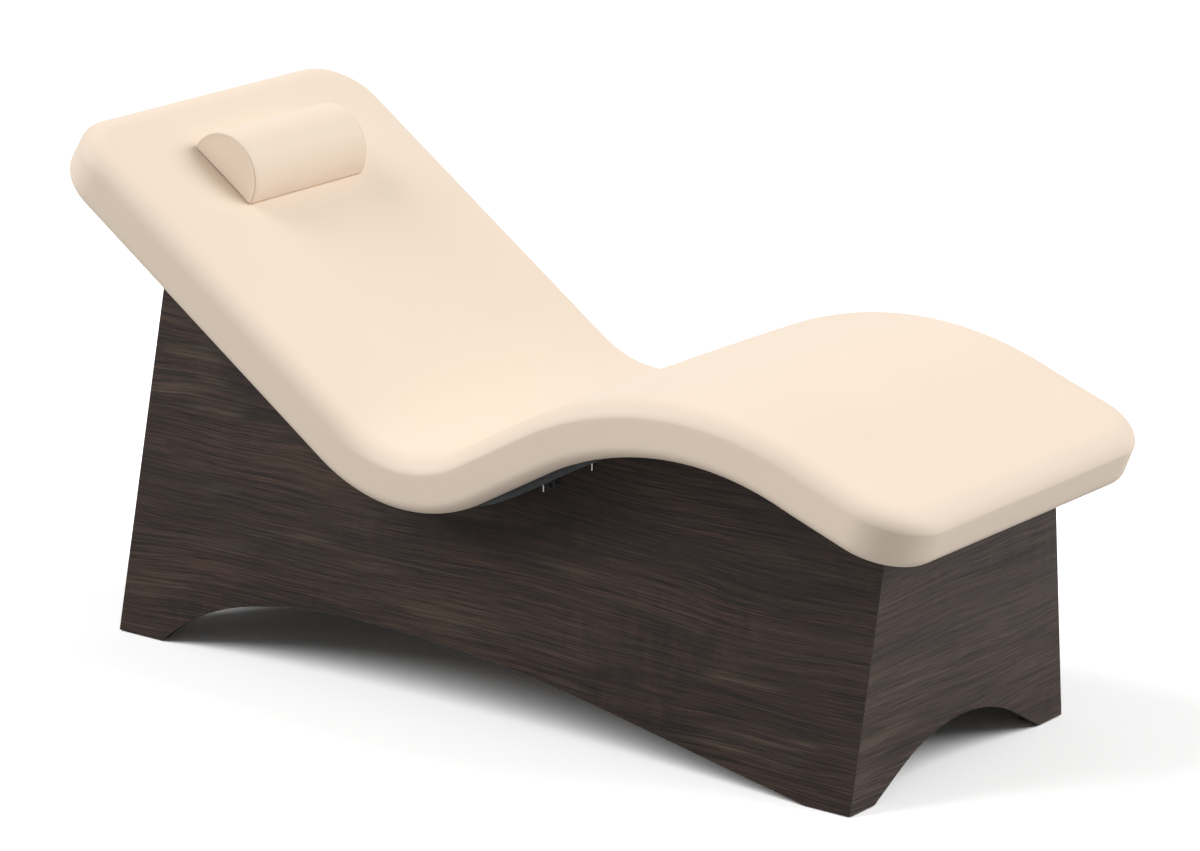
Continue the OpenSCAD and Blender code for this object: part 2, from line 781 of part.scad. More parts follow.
// Corner blocks and levelling glides
stud_base = pad_h - stud_seat + stud_play;
module at_glide(end, side) {
    translate([block_mid_x(end, block_base), side * block_mid_y(block_base), 0]) children();
}
module corner_block(end, side) {
    color("burlywood") difference() {
        intersection() {
            side_board(side, panel_t, block_depth);
            end_board(end, panel_t, block_depth);
            z_slice(block_base, block_base + block_h);
        }
        at_glide(end, side) {
            cylinder(h = block_base + insert_l, d = insert_d);
            cylinder(h = stud_base + stud_l + stud_room, d = stud_d + 2 * stud_room);
        }
        side_screw_holes(side);
        end_screw_holes(end);
    }
}
module glide_inserts() {
    color("gold") for (end = [head, foot], side = [left, right])
        at_glide(end, side) translate([0, 0, block_base]) difference() {
            cylinder(h = insert_l, d = insert_d);
            translate([0, 0, -cut_over])
                cylinder(h = insert_l + 2 * cut_over, d = stud_d + 2 * stud_play);
        }
}
module glide_pad(end, side) {
    color("black") at_glide(end, side) difference() {
        union() {
            cylinder(h = pad_rim_h, d = pad_d);
            translate([0, 0, pad_rim_h]) cylinder(h = pad_h - pad_rim_h, d1 = pad_d, d2 = pad_neck_d);
        }
        translate([0, 0, pad_h - stud_seat])
            cylinder(h = stud_seat + cut_over, d = stud_d + 2 * stud_play);
    }
}
module glide_stud(end, side) {
    flats = 6;
    color("silver") at_glide(end, side) {
        translate([0, 0, stud_base]) cylinder(h = stud_l, d = stud_d);
        translate([0, 0, pad_h + nut_lift])
            cylinder(h = nut_h - nut_lift, d = nut_w / cos(half_turn / flats), $fn = flats);
    }
}

// Head pillow: half-round sections across the back rest, as shares of half its length and its radius
pillow_shares = [[-1, 0.96], [-0.985, 1], [0, 1.015], [0.985, 1], [1, 0.96]];
pillow_steps = 16;
pillow_base = back_top + 2 * strip_t + pillow_play;
pillow_heart_share = 0.45;
module pillow_form(skin) {
    half_l = pillow_l / 2 - pillow_bulge - skin;
    r = pillow_r - skin;
    base = pillow_base + skin;
    count = pillow_steps + 1;
    points = concat(
        [for (q = pillow_shares, i = [0:pillow_steps])
            let (a = half_turn * i / pillow_steps)
            place(pillow_at + q.y * r * cos(a), q.x * half_l, base + q.y * r * sin(a))],
        [for (side = [left, right])
            place(pillow_at, side * (half_l + pillow_bulge), base + pillow_heart_share * r)]);
    rings = len(pillow_shares);
    hub = rings * count;
    faces = concat(
        [for (k = [0:rings - 2], i = [0:pillow_steps])
            let (a = k * count + i, b = k * count + (i + 1) % count)
            each [[a, b, b + count], [a, b + count, a + count]]],
        [for (i = [0:pillow_steps]) [hub, (i + 1) % count, i]],
        [for (i = [0:pillow_steps]) [hub + 1, hub - count + i, hub - count + (i + 1) % count]]);
    polyhedron(points, faces);
}
module pillow_cover() {
    color(vinyl) difference() {
        pillow_form(0);
        pillow_form(cover_t);
    }
}
module pillow_foam() {
    color("khaki") pillow_form(cover_t);
}
module strips(level) {
    for (side = [left, right])
        translate(place(pillow_at, side * strip_gap / 2, level)) rotate([0, back_angle, 0])
            translate([-strip_l / 2, -strip_w / 2, 0]) cube([strip_l, strip_w, strip_t]);
}
module loop_strips() {
    color("beige") strips(back_top);
}
module hook_strips() {
    color("beige") strips(pillow_base - strip_t);
}

cushion_cover();
cushion_foam();
deck_board();
dust_cover();
loop_strips();
pillow_cover();
pillow_foam();
hook_strips();
deck_rail(left);  // deck_rail_left
deck_rail(right);  // deck_rail_right
end_rail(head);  // head_rail
end_rail(foot);  // foot_rail
deck_bolts();
rail_clip(left);  // rail_clip_left
rail_clip(right);  // rail_clip_right
clip_screws();
side_panel(left);  // side_panel_left
side_panel(right);  // side_panel_right
end_panel(head);  // head_panel
end_panel(foot);  // foot_panel
corner_block(head, left);  // corner_block_head_left
corner_block(head, right);  // corner_block_head_right
corner_block(foot, left);  // corner_block_foot_left
corner_block(foot, right);  // corner_block_foot_right
cleat(left);  // cleat_left
cleat(right);  // cleat_right
bearer(bearer_places[0]);  // back_bearer
bearer(bearer_places[1]);  // seat_bearer
bearer(bearer_places[2]);  // knee_bearer
bearer_angles();
angle_screws();
cleat_screws();
block_screws();
deck_screws();
glide_inserts();
glide_pad(head, left);  // glide_pad_head_left
glide_pad(head, right);  // glide_pad_head_right
glide_pad(foot, left);  // glide_pad_foot_left
glide_pad(foot, right);  // glide_pad_foot_right
glide_stud(head, left);  // glide_stud_head_left
glide_stud(head, right);  // glide_stud_head_right
glide_stud(foot, left);  // glide_stud_foot_left
glide_stud(foot, right);  // glide_stud_foot_right
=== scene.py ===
import math
import bmesh
import bpy
import numpy
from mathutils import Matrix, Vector


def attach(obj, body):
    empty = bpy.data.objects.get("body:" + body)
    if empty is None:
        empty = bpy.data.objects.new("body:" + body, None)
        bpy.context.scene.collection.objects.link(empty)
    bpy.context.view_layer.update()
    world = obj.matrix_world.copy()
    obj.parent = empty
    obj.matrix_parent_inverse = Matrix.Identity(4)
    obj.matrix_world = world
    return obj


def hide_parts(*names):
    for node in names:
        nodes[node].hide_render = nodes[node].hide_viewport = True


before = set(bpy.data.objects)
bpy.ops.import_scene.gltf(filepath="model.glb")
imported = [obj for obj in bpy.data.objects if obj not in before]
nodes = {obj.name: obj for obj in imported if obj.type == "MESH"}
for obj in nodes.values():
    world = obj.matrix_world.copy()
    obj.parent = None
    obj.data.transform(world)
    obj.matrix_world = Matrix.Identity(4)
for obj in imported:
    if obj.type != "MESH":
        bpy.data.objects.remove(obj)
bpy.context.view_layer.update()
mergeWithin = 0.00002  # metres; the points of a CAD mesh that are closer are one
print("stage: frame loaded")


# A value inside a material, which makes its own maths nodes as it is added, subtracted or scaled
class Wire:
    def __init__(self, paint, socket):
        self.paint = paint
        self.socket = socket

    def math(self, kind, *rest):
        return self.paint.node("Math", {"operation": kind}, dict(enumerate((self,) + rest)))

    def mathFrom(self, kind, first):
        return self.paint.node("Math", {"operation": kind}, {0: first, 1: self})

    def __add__(self, other):
        return self.math("ADD", other)

    def __radd__(self, other):
        return self.mathFrom("ADD", other)

    def __sub__(self, other):
        return self.math("SUBTRACT", other)

    def __rsub__(self, other):
        return self.mathFrom("SUBTRACT", other)

    def __mul__(self, other):
        return self.math("MULTIPLY", other)

    def __rmul__(self, other):
        return self.mathFrom("MULTIPLY", other)

    def clamped(self):
        return self.paint.node("Clamp", {}, {0: self, 1: 0.0, 2: 1.0})

    def between(self, low, high):
        feeds = {0: self, 1: low, 2: high, 3: 0.0, 4: 1.0}
        return self.paint.node("MapRange", {"interpolation_type": "SMOOTHSTEP"}, feeds)


# One procedural material: a principled shader and the nodes that feed it
class Paint:
    def __init__(self, name, fixed):
        self.look = bpy.data.materials.new(name)
        self.look.use_nodes = True
        self.tree = self.look.node_tree
        self.tree.nodes.clear()
        self.shader = self.tree.nodes.new("ShaderNodeBsdfPrincipled")
        end = self.tree.nodes.new("ShaderNodeOutputMaterial")
        self.tree.links.new(self.shader.outputs[0], end.inputs[0])
        self.feed(self.shader, fixed)

    def feed(self, node, feeds):
        for key, value in feeds.items():
            if isinstance(value, Wire):
                self.tree.links.new(value.socket, node.inputs[key])
            else:
                node.inputs[key].default_value = value

    def node(self, kind, setup, feeds, out=0):
        made = self.tree.nodes.new("ShaderNode" + kind)
        for key, value in setup.items():
            setattr(made, key, value)
        self.feed(made, feeds)
        return Wire(self, made.outputs[out])

    # Object coordinates, stretched
    def place(self, stretch=(1, 1, 1)):
        where = self.node("TexCoord", {}, {}, 3)
        return self.node("Mapping", {}, {"Vector": where, "Scale": stretch})

    def noise(self, where, scale, detail=3.0, rough=0.5):
        feeds = {"Vector": where, "Scale": scale, "Detail": detail, "Roughness": rough}
        return self.node("TexNoise", {}, feeds)

    def mix(self, share, low, high):
        return self.node("Mix", {"data_type": "RGBA"}, {0: share, 6: low, 7: high}, 2)

    def bump(self, height, strength, distance):
        return self.node("Bump", {}, {"Height": height, "Strength": strength, "Distance": distance})

    def finish(self, **feeds):
        self.feed(self.shader, feeds)
        return self.look


# A colour written as on screen, 0 to 255
def tint(red, green, blue):
    def linear(part):
        return part / 12.92 if part < 0.04045 else ((part + 0.055) / 1.055) ** 2.4
    return tuple(linear(part / 255) for part in (red, green, blue)) + (1.0,)


vinylFacts = {
    "low": (236, 218, 199), "high": (240, 222, 203), "shine": 0.25, "rough": 0.42,
    "cloudScale": 4.0, "grainScale": 650.0, "fineScale": 1400.0, "wornScale": 18.0,
    "reliefStrength": 0.1, "reliefDeep": 0.0003,
}


def makeVinyl():
    v = vinylFacts
    paint = Paint("creamVinyl", {"Specular IOR Level": v["shine"]})
    where = paint.place()
    cloud = paint.noise(where, v["cloudScale"])
    base = paint.mix(cloud, tint(*v["low"]), tint(*v["high"]))
    grain = paint.node("TexVoronoi", {"feature": "F1"}, {"Vector": where, "Scale": v["grainScale"]})
    fine = paint.noise(where, v["fineScale"], 2.0)
    worn = paint.noise(where, v["wornScale"])
    relief = paint.bump(0.7 * grain + 0.3 * fine, v["reliefStrength"], v["reliefDeep"])
    rough = v["rough"] + 0.1 * worn + 0.04 * fine
    return paint.finish(**{"Base Color": base, "Roughness": rough, "Normal": relief})


# Dark woodgrain laminate: fine threads that wander along the grain, olive patches, pores and a faint cross figure
laminateFacts = {
    "sideLaminate": {
        "along": "X", "seed": 2.6, "contrast": 1.36, "dark": (20, 12, 10), "pale": (83, 62, 54),
        "oliveDark": (20, 14, 11), "olivePale": (78, 63, 51),
    },
    # The end panels' copy of the laminate is paler and has less contrast than the sides': painted reflection, the
    # brighter sheen of the end panels painted into their colour
    "endLaminatePaintedSheen": {
        "along": "Y", "seed": 7.4, "contrast": 0.9, "dark": (30, 23, 21), "pale": (113, 94, 88),
        "oliveDark": (29, 24, 21), "olivePale": (108, 93, 85),
    },
}
# Each field's scale along the grain and up the panel, detail, roughness and shift
grainFields = {
    "sway": (1.1, 2.0, 2.0, 0.5, 0.0), "ripple": (4.0, 10.0, 2.0, 0.5, 3.1),
    "patch": (1.7, 6.5, 3.0, 0.5, 41.3), "broad": (1.3, 8.0, 2.0, 0.5, 5.3),
    "streaks": (1.9, 150.0, 5.0, 0.74, 8.9), "threads": (8.0, 620.0, 4.0, 0.72, 12.7),
    "cluster": (3.2, 22.0, 2.0, 0.5, 17.1), "lines": (2.6, 300.0, 2.0, 0.5, 45.1),
    "veins": (4.0, 170.0, 2.0, 0.5, 21.3), "pores": (22.0, 640.0, 2.0, 0.5, 25.9),
    "cross": (38.0, 11.0, 3.0, 0.62, 31.7), "crossPlace": (4.4, 8.0, 2.0, 0.5, 37.3),
}
# Where a field starts to show and where it shows in full
grainBands = {
    "patch": (0.36, 0.64), "olive": (0.44, 0.62), "cluster": (0.56, 0.74), "lines": (0.5, 0.62),
    "veins": (0.56, 0.66), "pores": (0.56, 0.7), "crossPlace": (0.48, 0.66),
}
grainTints = {"cluster": (88, 77, 62), "lines": (100, 88, 73), "veins": (20, 14, 13), "pores": (16, 11, 10)}
grainFinish = {"shine": 0.26, "rough": 0.44, "level": 0.27, "reliefStrength": 0.08, "reliefDeep": 0.0004}


def makeLaminate(name):
    facts = laminateFacts[name]
    finish = grainFinish
    paint = Paint(name, {"Specular IOR Level": finish["shine"]})
    split = paint.node("SeparateXYZ", {}, {0: paint.place()}).socket.node.outputs
    run, up = Wire(paint, split[facts["along"]]), Wire(paint, split["Z"])

    def field(kind, height):
        alongScale, upScale, detail, rough, shift = grainFields[kind]
        feeds = {0: run * alongScale + facts["seed"] + shift, 1: shift * 1.7, 2: height * upScale}
        return paint.noise(paint.node("CombineXYZ", {}, feeds), 1.0, detail, rough)

    def shown(kind, height):
        return field(kind, height).between(*grainBands[kind])
    # Height at which a thread lies, so that the grain sways and ripples
    wander = up + 0.1 * (field("sway", up) - 0.5) + 0.014 * (field("ripple", up) - 0.5)
    patch = shown("patch", up)
    broad = field("broad", wander)
    streaks = field("streaks", wander)
    threads = field("threads", wander)
    cluster = shown("cluster", wander)
    lines = shown("lines", wander)
    veins = shown("veins", wander)
    pores = shown("pores", wander)
    figure = (field("cross", up) - 0.5) * shown("crossPlace", up)
    grain = (0.7 + 0.6 * patch) * (0.8 * (streaks - 0.5) + 2.3 * (threads - 0.5))
    change = facts["contrast"] * (grain + 0.55 * (broad - 0.5) + 0.5 * figure)
    shade = (finish["level"] + 0.12 * patch + change).clamped()
    base = paint.mix(shade, tint(*facts["dark"]), tint(*facts["pale"]))
    olive = paint.mix(shade, tint(*facts["oliveDark"]), tint(*facts["olivePale"]))
    base = paint.mix(broad.between(*grainBands["olive"]) * 0.5, base, olive)
    base = paint.mix(cluster * (0.1 + 0.4 * threads), base, tint(*grainTints["cluster"]))
    base = paint.mix((0.15 + cluster) * lines * 0.5, base, tint(*grainTints["lines"]))
    base = paint.mix(veins * 0.35, base, tint(*grainTints["veins"]))
    base = paint.mix(pores * 0.4, base, tint(*grainTints["pores"]))
    relief = paint.bump(threads + 0.6 * streaks - 0.8 * pores, finish["reliefStrength"], finish["reliefDeep"])
    rough = finish["rough"] + 0.16 * threads + 0.08 * streaks
    return paint.finish(**{"Base Color": base, "Roughness": rough, "Normal": relief})


# An even finish with a slight cloud in its colour and a fine relief
def makePlain(name, low, high, scale, rough, metal=0.0, depth=0.0003, stretch=(1, 1, 1)):
    paint = Paint(name, {"Metallic": metal})
    cloud = paint.noise(paint.place(stretch), scale, 4.0)
    fine = paint.noise(paint.place(stretch), scale * 9, 2.0)
    base = paint.mix((0.7 * cloud + 0.3 * fine).between(0.3, 0.7), low, high)
    relief = paint.bump(cloud + 0.6 * fine, 0.25, depth)
    return paint.finish(**{"Base Color": base, "Roughness": rough - 0.06 + 0.12 * fine, "Normal": relief})


# Low and high tint, scale of the cloud, roughness, then metal, depth of the relief and stretch where they matter
looks = {
    "vinyl": makeVinyl(),
    "sideLaminate": makeLaminate("sideLaminate"),
    "endLaminatePaintedSheen": makeLaminate("endLaminatePaintedSheen"),
    "edgeBand": makePlain("edgeBand", tint(20, 17, 16), tint(30, 26, 24), 30.0, 0.5),
    # The eased-edge colour is paler than the laminate beside it: a painted highlight along the panels' edges
    "paintedEdgeHighlight": makePlain("paintedEdgeHighlight", tint(52, 44, 41), tint(66, 57, 52), 40.0, 0.5),
    "innerFace": makePlain("innerFace", tint(40, 35, 33), tint(54, 48, 45), 12.0, 0.6, stretch=(1, 9, 9)),
    "rail": makePlain("railGrey", tint(84, 87, 88), tint(100, 103, 104), 25.0, 0.6, stretch=(1, 8, 8)),
    "ply": makePlain("plywood", tint(190, 160, 120), tint(212, 184, 146), 14.0, 0.65, stretch=(1, 8, 8)),
    "pine": makePlain("paleWood", tint(201, 170, 124), tint(221, 194, 152), 10.0, 0.6, stretch=(1, 9, 9)),
    "dust": makePlain("dustCloth", tint(52, 52, 55), tint(70, 70, 73), 160.0, 0.9),
    "tape": makePlain("fasteningTape", tint(222, 208, 190), tint(236, 224, 208), 900.0, 0.9, depth=0.0008),
    "zinc": makePlain("zincSteel", tint(168, 168, 170), tint(196, 196, 197), 300.0, 0.34, 1.0, 0.00005),
    "black": makePlain("blackSteel", tint(16, 16, 17), tint(26, 26, 27), 400.0, 0.45, 0.0, 0.0001),
    "brass": makePlain("brass", tint(178, 142, 74), tint(204, 170, 98), 300.0, 0.32, 1.0, 0.00005),
    "plastic": makePlain("glidePlastic", tint(24, 24, 25), tint(34, 34, 35), 500.0, 0.5, 0.0, 0.0001),
}
nodeLooks = {
    "deck_board": "ply", "dust_cover": "dust", "loop_strips": "tape", "hook_strips": "tape",
    "deck_rail_left": "rail", "deck_rail_right": "rail", "head_rail": "rail", "foot_rail": "rail",
    "deck_bolts": "zinc", "rail_clip_left": "black", "rail_clip_right": "black", "clip_screws": "black",
    "corner_block_head_left": "pine", "corner_block_head_right": "pine",
    "corner_block_foot_left": "pine", "corner_block_foot_right": "pine",
    "cleat_left": "pine", "cleat_right": "pine",
    "back_bearer": "pine", "seat_bearer": "pine", "knee_bearer": "pine",
    "bearer_angles": "zinc", "angle_screws": "zinc", "cleat_screws": "zinc", "block_screws": "zinc",
    "deck_screws": "zinc", "glide_inserts": "brass",
}
glideLooks = {"glide_pad": "plastic", "glide_stud": "zinc"}
for name, node in nodes.items():
    look = nodeLooks.get(name) or next((glideLooks[kind] for kind in glideLooks if name.startswith(kind)), None)
    if look:
        node.data.materials.clear()
        node.data.materials.append(looks[look])
print("stage: materials made")


# Camera at the photograph's viewing angle, in the photograph's frame
cameraFacts = {"around": 37.354, "up": 16.033, "distance": 8.939, "target": (0.0242, 0.0, 0.4576), "lens": 155.61}


def makeCamera():
    around, up = math.radians(cameraFacts["around"]), math.radians(cameraFacts["up"])
    out = Vector((math.sin(around) * math.cos(up), -math.cos(around) * math.cos(up), math.sin(up)))
    data = bpy.data.cameras.new("studioCamera")
    data.sensor_width = 36.0
    data.lens = cameraFacts["lens"]
    camera = bpy.data.objects.new("studioCamera", data)
    target = Vector(cameraFacts["target"])
    camera.location = target + out * cameraFacts["distance"]
    camera.rotation_euler = (-out).to_track_quat("-Z", "Y").to_euler()
    data.clip_end = 200.0
    bpy.context.scene.collection.objects.link(camera)
    bpy.context.scene.camera = camera


# Studio light: an even sky and a wide soft lamp at each side of the view; shiny faces see a white room behind,
# which fades in between roomStart and roomFull, as shares of the way from the camera's side to the far side
lightFacts = {
    "sky": 0.24, "behind": 0.8, "front": 0.06, "roomStart": -0.7, "roomFull": 0.3, "seen": 1.0,
    "lamps": {
        "studioLeft": {"energy": 2.34, "spread": 44.0, "around": 219.5, "up": 41.0},
        "studioRight": {"energy": 2.28, "spread": 44.0, "around": 37.4, "up": 36.0},
    },
}


def makeLight():
    scene = bpy.context.scene
    scene.view_settings.view_transform = "Standard"
    world = bpy.data.worlds.new("studioSky")
    world.use_nodes = True
    scene.world = world
    tree = world.node_tree

    def node(kind, **setup):
        made = tree.nodes.new("ShaderNode" + kind)
        for key, value in setup.items():
            setattr(made, key, value)
        return made
    back = next(n for n in tree.nodes if n.type == "BACKGROUND")
    path = node("LightPath")
    where = node("TexCoord")
    toBack = node("VectorMath", operation="DOT_PRODUCT")
    tree.links.new(where.outputs["Generated"], toBack.inputs[0])
    around = math.radians(cameraFacts["around"])
    toBack.inputs[1].default_value = (-math.sin(around), math.cos(around), 0.0)
    room = node("MapRange", interpolation_type="SMOOTHSTEP")
    tree.links.new(toBack.outputs["Value"], room.inputs[0])
    for slot, fact in enumerate(("roomStart", "roomFull", "front", "behind"), 1):
        room.inputs[slot].default_value = lightFacts[fact]
    shiny = node("Math", operation="MAXIMUM")
    tree.links.new(path.outputs["Is Glossy Ray"], shiny.inputs[0])
    tree.links.new(path.outputs["Is Transmission Ray"], shiny.inputs[1])
    first = node("Mix", data_type="FLOAT")
    tree.links.new(shiny.outputs[0], first.inputs[0])
    first.inputs[2].default_value = lightFacts["sky"]
    tree.links.new(room.outputs[0], first.inputs[3])
    second = node("Mix", data_type="FLOAT")
    tree.links.new(path.outputs["Is Camera Ray"], second.inputs[0])
    tree.links.new(first.outputs[0], second.inputs[2])
    second.inputs[3].default_value = lightFacts["seen"]
    back.inputs["Color"].default_value = (1, 1, 1, 1)
    tree.links.new(second.outputs[0], back.inputs["Strength"])
    for name, facts in lightFacts["lamps"].items():
        data = bpy.data.lights.new(name, "SUN")
        data.energy = facts["energy"]
        data.angle = math.radians(facts["spread"])
        lamp = bpy.data.objects.new(name, data)
        turn, up = math.radians(facts["around"]), math.radians(facts["up"])
        toLamp = Vector((math.cos(turn) * math.cos(up), math.sin(turn) * math.cos(up), math.sin(up)))
        lamp.rotation_euler = toLamp.to_track_quat("Z", "Y").to_euler()
        scene.collection.objects.link(lamp)


# Floor: paler to the camera than to the light that it throws back, so that it runs into the white background
floorFacts = {"seen": 1.46, "shiny": 0.9, "thrown": 0.45, "reach": 60.0}


def makeFloor():
    look = bpy.data.materials.new("studioFloor")
    look.use_nodes = True
    tree = look.node_tree
    tree.nodes.clear()
    near = tree.nodes.new("ShaderNodeBsdfDiffuse")
    path = tree.nodes.new("ShaderNodeLightPath")
    level = floorFacts["thrown"]
    for ray, fact in (("Is Glossy Ray", "shiny"), ("Is Transmission Ray", "shiny"), ("Is Camera Ray", "seen")):
        pick = tree.nodes.new("ShaderNodeMix")
        tree.links.new(path.outputs[ray], pick.inputs[0])
        if isinstance(level, float):
            pick.inputs[2].default_value = level
        else:
            tree.links.new(level, pick.inputs[2])
        pick.inputs[3].default_value = floorFacts[fact]
        level = pick.outputs[0]
    tree.links.new(level, near.inputs["Color"])
    end = tree.nodes.new("ShaderNodeOutputMaterial")
    tree.links.new(near.outputs[0], end.inputs[0])
    mesh = bpy.data.meshes.new("studioFloor")
    reach = floorFacts["reach"]
    corners = [(-reach, -reach, 0), (reach, -reach, 0), (reach, reach, 0), (-reach, reach, 0)]
    mesh.from_pydata(corners, [], [(0, 1, 2, 3)])
    floor = bpy.data.objects.new("studioFloor", mesh)
    mesh.materials.append(look)
    bpy.context.scene.collection.objects.link(floor)


makeCamera()
makeLight()
makeFloor()
print("stage: camera, light and floor made")


# Wave of the cushion, in millimetres, as the deck under it runs
waveFacts = {
    "backLen": 759, "backAngle": 34.9, "seatRadius": 326, "riseAngle": 28.8, "riseLen": 157,
    "kneeRadius": 569, "fallAngle": 21.4, "flareRadius": 1220, "footAngle": 19.6, "footLen": 200,
    "seatHeight": 365, "width": 762, "thick": 99, "headCorner": 112, "footCorner": 108,
    "topRound": 48, "lowRound": 27,
}


class Wave:
    def __init__(self, facts):
        def arc(radius, turn):
            return (radius * math.radians(turn), turn)
        f = self.facts = facts
        kneeTurn = f["riseAngle"] + f["fallAngle"]
        self.runs = [
            (f["backLen"], 0), arc(f["seatRadius"], f["backAngle"] + f["riseAngle"]), (f["riseLen"], 0),
            (arc(f["kneeRadius"], kneeTurn)[0], -kneeTurn), arc(f["flareRadius"], f["fallAngle"] - f["footAngle"]),
            (f["footLen"], 0),
        ]
        self.length = sum(run[0] for run in self.runs)
        self.shift = (0.0, 0.0)
        low = f["backLen"] + f["seatRadius"] * math.radians(f["backAngle"])
        first = self.at(f["lowRound"], f["lowRound"])
        last = self.at(self.length - f["topRound"], f["thick"] - f["topRound"])
        mid = (first[0] - f["lowRound"] + last[0] + f["topRound"]) / 2
        self.shift = (mid, self.at(low, 0)[1] - f["seatHeight"])

    # Place from the side at a distance along the wave and a height square to it
    def at(self, along, height):
        x, z, slope = 0.0, 0.0, -math.radians(self.facts["backAngle"])
        left = along
        for index, (length, turn) in enumerate(self.runs):
            last = index == len(self.runs) - 1
            part = left if last else min(left, length)
            if turn == 0:
                x, z = x + part * math.cos(slope), z + part * math.sin(slope)
            else:
                radius = length / math.radians(turn)
                then = slope + math.radians(turn) * part / length
                x += radius * (math.sin(then) - math.sin(slope))
                z += radius * (math.cos(slope) - math.cos(then))
                slope = then
            left -= part
            if left <= 0 or last:
                break
        return (x - height * math.sin(slope) - self.shift[0], z + height * math.cos(slope) - self.shift[1])

    def put(self, along, across, height):
        x, z = self.at(along, height)
        return (x / 1000, across / 1000, z / 1000)


wave = Wave(waveFacts)


# A mesh piece that rides on a body and stands for CAD nodes
def makePiece(name, points, faces, look, body, stands):
    mesh = bpy.data.meshes.new(name)
    mesh.from_pydata(points, [], faces)
    mesh.validate()
    piece = bpy.data.objects.new(name, mesh)
    mesh.materials.append(looks[look])
    for face in mesh.polygons:
        face.use_smooth = True
    bpy.context.scene.collection.objects.link(piece)
    settle(piece, body, stands)
    return piece


def settle(piece, body, stands):
    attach(piece, body)
    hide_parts(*stands)


# Cushion, in millimetres: its sides are drawn in a little, its top is crowned and its underside has the deck's pocket
cushionFacts = {
    "columns": 40, "cornerSteps": 14, "step": 12.0, "crown": 3.0, "drawn": 2.0,
    "lowSteps": 7, "wallSteps": 4, "topSteps": 10, "pocketHigh": 14.8, "pocketInset": 26.4,
    "marginHigh": 1.15, "marginTop": 2.3, "marginInset": 62, "lowRound": 24, "taper": 1.5,
    "topAcross": 47, "topTall": 27, "crease": 15.0, "creaseEase": 1.2, "creaseIn": 0.1, "creaseOut": 0.25,
}


# Half of a level's rim as distances along and across, from the head end to the foot end
def halfRim(inset, share):
    f = waveFacts
    half, head, foot = f["width"] / 2, f["headCorner"], f["footCorner"]
    steps = cushionFacts["cornerSteps"]
    rim = []
    for i in range(steps + 1):
        turn = math.pi / 2 * i / steps
        r = head - inset
        rim.append((head - r * math.cos(turn), half - head + r * math.sin(turn)))
    span = wave.length - head - foot
    count = round(span / cushionFacts["step"])
    for i in range(1, count):
        pull = cushionFacts["drawn"] * math.sin(math.pi * i / count)
        rim.append((head + span * i / count, half - inset - share * pull))
    for i in range(steps + 1):
        turn = math.pi / 2 * i / steps
        r = foot - inset
        rim.append((wave.length - foot + r * math.sin(turn), half - foot + r * math.cos(turn)))
    return rim


# Whole rim: left side, foot edge, right side back, head edge
def wholeRim(inset, share):
    half = halfRim(inset, share)
    columns = cushionFacts["columns"]
    left = [(s, -y) for s, y in half]
    right = [(s, y) for s, y in reversed(half)]
    footEdge = [(half[-1][0], half[-1][1] * (2 * j / columns - 1)) for j in range(1, columns)]
    headEdge = [(half[0][0], half[0][1] * (1 - 2 * j / columns)) for j in range(1, columns)]
    return left + footEdge + right + headEdge


# Levels of the section as inset, height and share of the draw-in, from the pocket by the wall to the top round
def cushionLevels():
    c, f = cushionFacts, waveFacts
    low, top = c["lowRound"], c["topAcross"]
    levels = [
        (c["pocketInset"], c["pocketHigh"], 0), (c["pocketInset"], c["marginTop"], 0),
        (c["marginInset"], c["marginTop"], 0), (c["marginInset"], c["marginHigh"], 0),
    ]
    for i in range(c["lowSteps"] + 1):
        turn = math.pi / 2 * i / c["lowSteps"]
        inset, high = c["taper"] + low * (1 - math.sin(turn)), c["marginHigh"] + low * (1 - math.cos(turn))
        levels.append((inset, high, i / c["lowSteps"]))
    first = math.radians(c["crease"])
    across = top / math.cos(first)
    tall = c["topTall"] / (1 - math.sin(first))
    start, end = c["marginHigh"] + low, f["thick"] - tall * (1 - math.sin(first))
    for i in range(1, c["wallSteps"]):
        share = i / c["wallSteps"]
        levels.append((c["taper"] * (1 - share), start + (end - start) * share, 1))
    # The crease is softened by two levels below it and by its own level being drawn in and up
    levels.append((0, end - 2 * c["creaseEase"], 1))
    levels.append((c["creaseIn"], end - 0.5 * c["creaseEase"], 1))
    for i in range(c["topSteps"] + 1):
        turn = first + (math.pi / 2 - first) * i / c["topSteps"]
        drawnIn, drawnUp = (c["creaseOut"], 0.4 * c["creaseEase"]) if i == 0 else (0, 0)
        inset, high = top - across * math.cos(turn), f["thick"] - tall * (1 - math.sin(turn))
        levels.append((inset + drawnIn, high + drawnUp, 1))
    return levels


